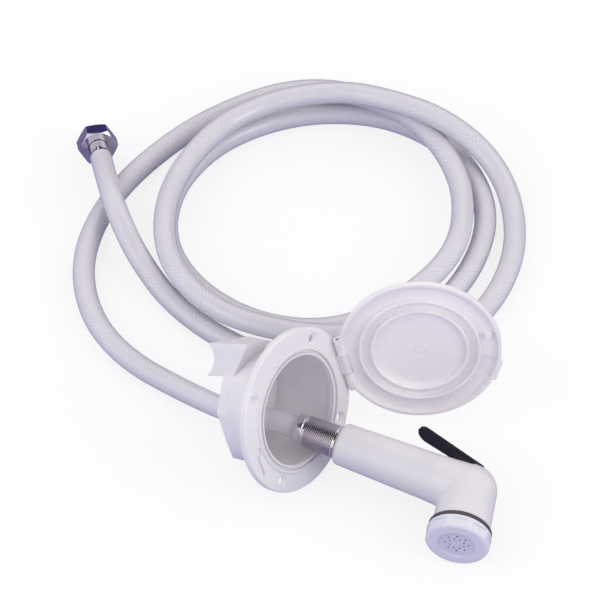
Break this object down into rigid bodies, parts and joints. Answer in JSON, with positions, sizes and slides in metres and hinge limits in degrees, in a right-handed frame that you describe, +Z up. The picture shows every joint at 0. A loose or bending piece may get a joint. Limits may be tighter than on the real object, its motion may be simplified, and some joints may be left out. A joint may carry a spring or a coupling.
{
  "type": "exterior shower box",
  "caption": "Flush wall box with a hinged round lid, holding a lever-operated hand shower on a long braided hose with a hexagon end nut.",
  "frame": {"origin": "on the table, under the middle of the box round the housing, the lid and the hand shower", "axes": "+X to the right and +Z up as the object lies on the table, -Y towards the viewer"},
  "size_m": [0.3061, 0.4277, 0.1212],
  "materials": {
    "housing_plastic": "glossy moulded, faintly warm white",
    "lid_plastic": "glossy moulded, white",
    "handset_plastic": "glossy moulded, white",
    "nozzle_plastic": "glossy moulded, white",
    "spray_face": "satin, pale grey",
    "dark_plastic": "satin, graphite grey",
    "hose_plastic": "translucent white with a fine woven braid",
    "bright_metal": "polished chrome plate",
    "pin_steel": "plain stainless steel",
    "valve_brass": "turned brass",
    "valve_plastic": "natural acetal",
    "seal_rubber": "black, matt"
  },
  "bodies": {
    "base": {"housing": "housing_plastic", "hose": "hose_plastic", "hose_tail": "valve_brass", "end_collar": "bright_metal", "end_tail": "valve_brass", "nut_washer": "seal_rubber"},
    "lid": {"lid": "lid_plastic", "hinge_pin": "pin_steel"},
    "handset": {"handset_body": "handset_plastic", "inlet_nipple": "valve_brass", "ferrule_nut": "bright_metal", "inlet_washer": "seal_rubber", "lever_pin": "pin_steel", "valve_bonnet": "valve_plastic", "valve_seat": "valve_brass", "valve_spring": "pin_steel", "stem_seal": "seal_rubber", "collar_ring": "dark_plastic"},
    "lever": {"lever": "dark_plastic"},
    "valve": {"valve_stem": "valve_brass", "valve_disc": "seal_rubber"},
    "nozzle": {"nozzle_cap": "nozzle_plastic", "spray_plate": "spray_face", "nozzle_gasket": "seal_rubber"},
    "hex_nut": {"hex_nut": "bright_metal"}
  },
  "joints": [
    {"name": "lid_hinge", "type": "hinge", "parent": "base", "child": "lid", "pos_m": [-0.00629, 0.05625, 0.05468], "axis": [-0.2667, 0.1805, 0.9467], "range_deg": [-30, 45]},
    {"name": "handset_swivel", "type": "hinge", "parent": "base", "child": "handset", "pos_m": [0.07408, -0.02896, 0.02485], "axis": [0.9121, -0.4061, -0.0558], "range_deg": [-50, 0]},
    {"name": "lever_press", "type": "hinge", "parent": "handset", "child": "lever", "pos_m": [0.07815, -0.01386, 0.02621], "axis": [0.0189, -0.0943, 0.9954], "range_deg": [0, 12], "stiffness_Nm_per_rad": 0.6, "springref_deg": -14.32},
    {"name": "valve_open", "type": "slide", "parent": "handset", "child": "valve", "axis": [-0.4095, -0.9089, -0.0783], "range_m": [0, 0.0029], "deforming": ["valve_spring"]},
    {"name": "nozzle_turn", "type": "hinge", "parent": "handset", "child": "nozzle", "pos_m": [0.07408, -0.02896, 0.02485], "axis": [-0.2075, -0.9742, -0.0884], "range_deg": [0, 120]},
    {"name": "nut_turn", "type": "hinge", "parent": "base", "child": "hex_nut", "pos_m": [-0.1715, 0.2796, 0.0178], "axis": [-0.1602, 0.9542, -0.2528], "continuous": true}
  ],
  "couplings": [
    {"joint": "valve_open", "follows": "lever_press", "m_per_rad": 0.0134}
  ]
}
